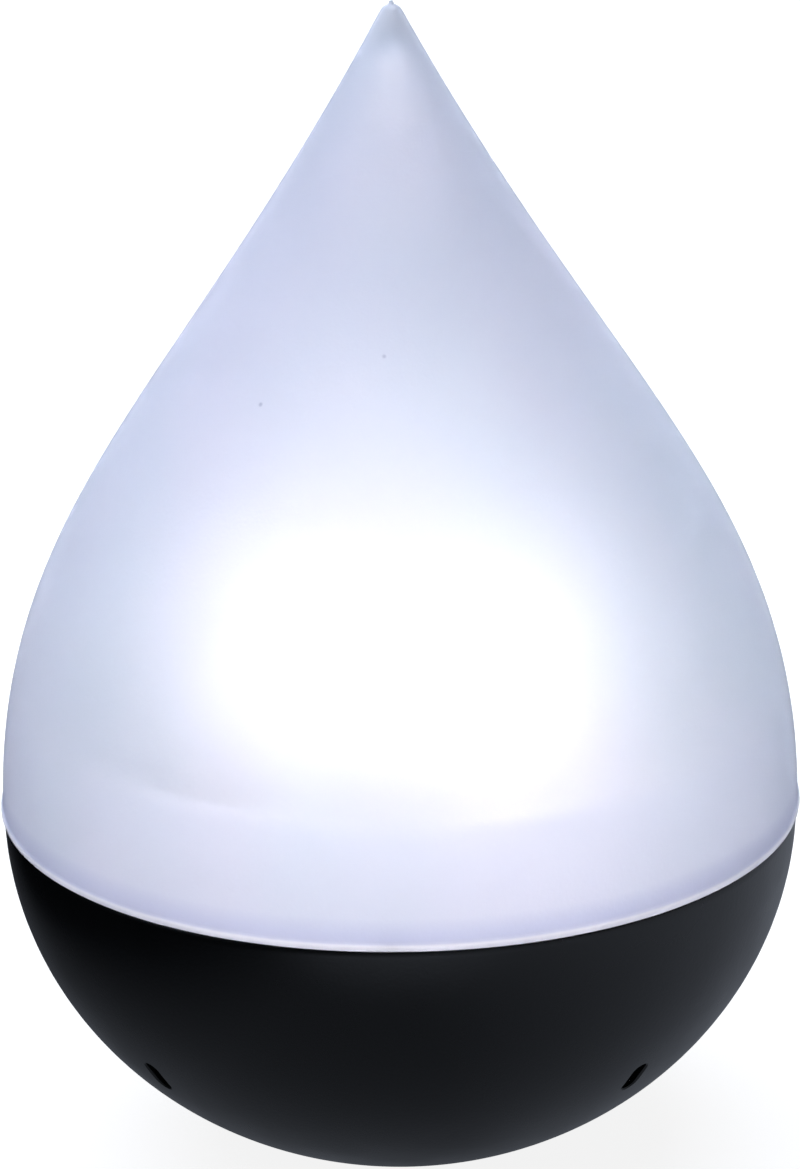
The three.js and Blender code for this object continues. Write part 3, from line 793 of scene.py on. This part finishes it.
def make_feet():
    """Rubber pads with two grip grooves each."""
    top = FOOT_H + 0.9
    outline = soft([(0, 0), (5.6, 0), (6, 0.7), (6, top), (0, top)], 0.5)
    for i, (x, y) in enumerate(around(*FEET)):
        pad = turned(f"foot_pad_{i + 1}", outline, 48)
        for radius in (1.6, 3.4):
            cut(pad, groove_cutter(radius, 0.6, -1, 0.25, 32))
        dress(shifted(pad, x, y), "base", "rubber_feet", f"foot_{i + 1}")


def screw(name, head_r, head_h, shank_r, length):
    """Points up with its head below z = 0, with a cross recess in the head."""
    outline = [
        (0, -head_h),
        (0.55 * head_r, 0.02 - head_h),
        (0.85 * head_r, 0.25 - head_h),
        (head_r, 0.55 - head_h),
        (head_r, 0),
        (shank_r, 0),
        (shank_r, length - shank_r),
        (0, length),
    ]
    made = turned(name, outline, 32)
    for turn in (0, 90):
        bar = slab("bar", 1.1 * head_r, 0.24 * head_r, 0.1, -head_h - 1, -0.45 * head_h)
        cut(made, spun(bar, turn))
    return made


def make_screws():
    """Each screw is turned by its own angle, as hands leave them."""
    for i, (x, y) in enumerate(around(*HATCH_SCREWS)):
        made = screw(f"hatch_screw_{i + 1}", 2.6, 1.1, 1.3, 5.4)
        shifted(spun(made, 20 + 31 * i), x, y, FOOT_H + 1.1)
        dress(made, "base", "steel", f"bottom_screw_{i + 1}")
    for i, (x, y) in enumerate(around(*FLANGE_SCREWS)):
        made = spun(screw(f"flange_screw_{i + 1}", 2.1, 1.5, 1.3, 6.4), 180, "X")
        shifted(spun(made, 10 + 47 * i), x, y, FLANGE_TOP + GAP)
        dress(made, "base", "steel", f"basin_screw_{i + 1}")


# ---- Rear panel and its controls, in panel coordinates ----
KNOB_X = 13
BUTTON_X = -2.5
SOCKET_X = -16.5
PANEL_BACK = -3
DIAL_R = 9.9


def make_panel():
    """A dished tray behind the bowl's window, with growing dots round the dial.

    Its rim is trimmed by the bowl's own curve.
    """
    tray = slab("control_panel", PANEL_W, PANEL_H, 4, PANEL_BACK, 8)
    fuse(tray, slab("flange", PANEL_W + 3, PANEL_H + 3, 6, PANEL_BACK, PANEL_BACK + 0.9))
    cut(tray, slab("dish", PANEL_W - 3.2, PANEL_H - 3.2, 2.4, 0, 9))
    for x, radius in ((KNOB_X, 3.3), (BUTTON_X, 4.4), (SOCKET_X, 4.5)):
        eased = radius + 0.5
        outline = [(0, -5), (radius, -5), (radius, -0.5), (eased, 0.01), (eased, 2), (0, 2)]
        cut(tray, shifted(turned("hole", outline, 48), x))
    for i in range(9):
        angle = math.radians(-225 + 33.75 * i)
        dot = turned("dot", soft(rod(0.25 + 0.045 * i, -1, 0.18), 0.08), 20)
        shifted(dot, KNOB_X + DIAL_R * math.cos(angle), DIAL_R * math.sin(angle))
        fuse(tray, dot)
    bowl_side = bowl_points(GAP, BOWL_DEPTH, 60, 0.2)
    filled_bowl = turned("filled", [(0, SEAM_Z - GAP)] + bowl_side + [(0, FOOT_H)], 160)
    moved(tray, panel_frame)
    combine(tray, filled_bowl, "INTERSECT")
    dress(tray, "base", "dark_plastic", "rear_panel")


def make_knob():
    """A fluted dial on its shaft, with a pointer line."""
    outline = [
        (0, -7),
        (2.6, -7),
        (2.9, -6.6),
        (2.9, 0.6),
        (8.6, 0.6),
        (8.6, 1.6),
        (7.9, 5.4),
        (7.2, 6.1),
        (0, 6.1),
    ]
    knob = turned("dial", soft(outline, 0.4), 80)
    for x, y in around(20, 9.0):
        cut(knob, shifted(turned("flute", rod(0.75, 2.2, 7), 16), x, y))
    pointer = slab("pointer", 1, 5, 0.4, 5.5, 7)
    cut(knob, shifted(pointer, 0, -4.4))
    moved(knob, panel_frame @ Matrix.Translation((KNOB_X, 0, 0)))
    dress(knob, "knob", "black_plastic", "mist_knob")


def make_button():
    """A dished button with a collar that the panel holds back."""
    outline = [
        (0, -6.9),
        (1.3, -6.9),
        (1.3, -5),
        (5.2, -5),
        (5.2, PANEL_BACK - GAP),
        (4, PANEL_BACK - GAP),
        (4, 1.4),
        (0, 1.7),
    ]
    button = turned("push_button", soft(outline, 0.5), 64)
    dish = [(0, 1.2), (1.2, 1.3), (2.2, 1.7), (2.2, 2.5), (0, 2.5)]
    cut(button, turned("dish", dish, 48))
    moved(button, panel_frame @ Matrix.Translation((BUTTON_X, 0, 0)))
    dress(button, "light_button", "white_button", "light_button")


def make_socket():
    """A barrel socket with its centre pin."""
    body = slab("supply_socket", 9.6, 9.6, 0.6, -13, PANEL_BACK - GAP, 0.3)
    fuse(body, turned("barrel", soft(rod(4.2, -5, -GAP), 0.35), 48))
    bore = [(0, -11), (3, -11), (3, -0.9), (3.4, -0.2), (3.4, 1), (0, 1)]
    cut(body, turned("bore", bore, 48))
    fuse(body, turned("pin", soft(rod(1, -12, -1.6), 0.4), 24))
    moved(body, panel_frame @ Matrix.Translation((SOCKET_X, 0, 0)))
    dress(body, "base", "black_plastic", "power_socket")


# ---- Parts on the axis that show when the mist tube is out ----
def make_mist_maker():
    disc = turned("ultrasonic_disc", soft(rod(9.7, 42, 43), 0.2), 64)
    dress(disc, "base", "brass", "transducer_disc")
    top, bottom = FLOOR_BOTTOM - GAP, SEAT_BOTTOM
    outline = [
        (8.2, top),
        (12.5, top),
        (12.5, bottom),
        (8.2, bottom),
        (8.2, bottom + 1.5),
        (10, bottom + 1.5),
        (10, bottom + 3.1),
        (8.2, bottom + 3.1),
    ]
    seal = turned("disc_seal", soft(outline, 0.25), 64)
    dress(seal, "base", "silicone", "transducer_seal")


# ---- CAD nodes that keep their shape and take a better material ----
KEPT = {
    "silicone": ["basin_gasket", "transducer_wires"],
    "dark_plastic": ["level_sensor", "air_duct", "fan_rotor", "light_switch"],
    "aluminium": ["transducer_clamp", "heat_sink"],
    "steel": [
        "clamp_screw_1",
        "clamp_screw_2",
        "clamp_screw_3",
        "fan_screw_1",
        "fan_screw_2",
        "driver_screw_1",
        "driver_screw_2",
        "mist_encoder",
    ],
    "board": ["light_board", "driver_board", "control_board"],
    "lamp": [f"led_{i}" for i in range(1, 7)],
    "black_plastic": ["fan_frame"],
    "copper": ["driver_coil"],
    "wire": ["power_wires"],
    "rubber_feet": ["fan_wires"],
}


def dress_kept_nodes():
    for name, nodes in KEPT.items():
        for node in nodes:
            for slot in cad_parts[node].material_slots:
                slot.material = MATERIALS[name]


# ---- Studio ----
DAYLIGHT = (0.8, 0.875, 1.03)
LAMPLIGHT = (1.0, 0.905, 0.83)
FLOOR_TONE = 0.88
BACKDROP_TONE = 0.905
ROOM_LIGHT = 0.0575

# Balls of light up the cover's axis: height above the seam, radius, brightness.
GLOW = [
    (22, 75, 0.72),
    (30, 50, 1.4),
    (34, 24, 5.4),
    (85, 48, 0.19),
    (135, 40, 0.09),
    (175, 21, 0.16),
    (197, 10, 0.24),
    (208, 5.5, 0.32),
]


def area_light(name, place, aim, width, depth, power):
    data = bpy.data.lights.new(name, "AREA")
    data.shape = "RECTANGLE"
    data.size, data.size_y = width, depth
    data.energy = power
    data.color = DAYLIGHT
    panel = bpy.data.objects.new(name, data)
    turn = (Vector(aim) - Vector(place)).to_track_quat("-Z", "Y").to_matrix().to_4x4()
    panel.matrix_world = Matrix.Translation(place) @ turn
    bpy.context.scene.collection.objects.link(panel)


def inner_light(name, height, radius, brightness):
    """A soft ball of the light scattered inside the cover, which it moves with."""
    data = bpy.data.lights.new(name, "POINT")
    data.shadow_soft_size = radius * MM
    data.energy = brightness * radius**2 * 1e-4
    data.color = LAMPLIGHT
    ball = bpy.data.objects.new(name, data)
    ball.location = (0, 0, (SEAM_Z + height) * MM)
    bpy.context.scene.collection.objects.link(ball)
    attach(ball, "cover")


def floor_paint():
    """An even pale floor that throws a soft bounce up, most from the right and in front."""
    paint = Paint("floor_white", Roughness=0.9, Specular_IOR_Level=0.0)
    seen = paint.node("ShaderNodeLightPath").outputs["Is Camera Ray"]
    pale = paint.mix(paint.noise(3), (0.28, 0.28, 0.283), (0.29, 0.29, 0.29))
    paint.colour(paint.mix(seen, (0, 0, 0), pale))
    paint.feed(paint.mix(seen, DAYLIGHT, (1, 1, 1)), "Emission Color")
    x = paint.along("X")
    middle = paint.spread(x, (-0.22, -0.08), (0, 0.17))
    right = paint.spread(x, (0.02, 0.25), (0, 0.3))
    from_patch = paint.node("ShaderNodeVectorMath", operation="DISTANCE")
    paint.link(paint.place, from_patch.inputs[0])
    from_patch.inputs[1].default_value = (0, -0.45, 0)
    patch = paint.spread(from_patch.outputs["Value"], (0.24, 0.1), (0, 0.6))
    bounce = paint.add(paint.add(middle, right), patch)
    glow = paint.node("ShaderNodeMix", data_type="FLOAT")
    paint.link(seen, glow.inputs["Factor"])
    paint.link(bounce, glow.inputs[2])
    glow.inputs[3].default_value = FLOOR_TONE
    paint.feed(glow.outputs[0], "Emission Strength")
    return paint.material


def make_floor():
    half = 6
    corners = [(-half, -half, 0), (half, -half, 0), (half, half, 0), (-half, half, 0)]
    mesh = bpy.data.meshes.new("studio_floor")
    mesh.from_pydata(corners, [], [(0, 1, 2, 3)])
    floor = link("studio_floor", mesh)
    mesh.materials.append(floor_paint())


def make_backdrop():
    """A pale backdrop to look at, and a dim room whose light fades from +X to none at -X."""
    world = bpy.data.worlds.new("studio")
    bpy.context.scene.world = world
    world.use_nodes = True
    nodes, links = world.node_tree.nodes, world.node_tree.links
    background = nodes["Background"]
    background.inputs["Color"].default_value = (1, 1, 1, 1)
    direction = nodes.new("ShaderNodeTexCoord")
    split = nodes.new("ShaderNodeSeparateXYZ")
    links.new(direction.outputs["Generated"], split.inputs["Vector"])
    room = nodes.new("ShaderNodeMapRange")
    room.inputs["From Min"].default_value = -1
    room.inputs["To Min"].default_value = 0
    room.inputs["To Max"].default_value = ROOM_LIGHT
    links.new(split.outputs["X"], room.inputs["Value"])
    paths = nodes.new("ShaderNodeLightPath")
    tone = nodes.new("ShaderNodeMix")
    links.new(paths.outputs["Is Camera Ray"], tone.inputs["Factor"])
    links.new(room.outputs["Result"], tone.inputs[2])
    tone.inputs[3].default_value = BACKDROP_TONE
    links.new(tone.outputs[0], background.inputs["Strength"])


def make_lights():
    area_light("overhead", (-0.42, 0.9, 1.6), (-0.22, 0.9, 0), 2.6, 2.8, 68.5)
    area_light("left_fill", (-1.6, -0.6, 0.9), (0, 0, 0.15), 1.2, 1.2, 3)
    area_light("rear_fill", (0.5, 1.5, 0.35), (0, 0, 0.08), 1.2, 0.6, 3.5)
    for i, (height, radius, brightness) in enumerate(GLOW):
        inner_light(f"glow_{i + 1}", height, radius, brightness)


bpy.context.scene.view_settings.view_transform = "Standard"
make_camera()
make_cover()
make_spout()
make_mist_tube()
make_basin()
make_float()
make_bowl()
make_bottom_cover()
make_feet()
make_screws()
make_panel()
make_knob()
make_button()
make_socket()
make_mist_maker()
dress_kept_nodes()
make_floor()
make_backdrop()
make_lights()
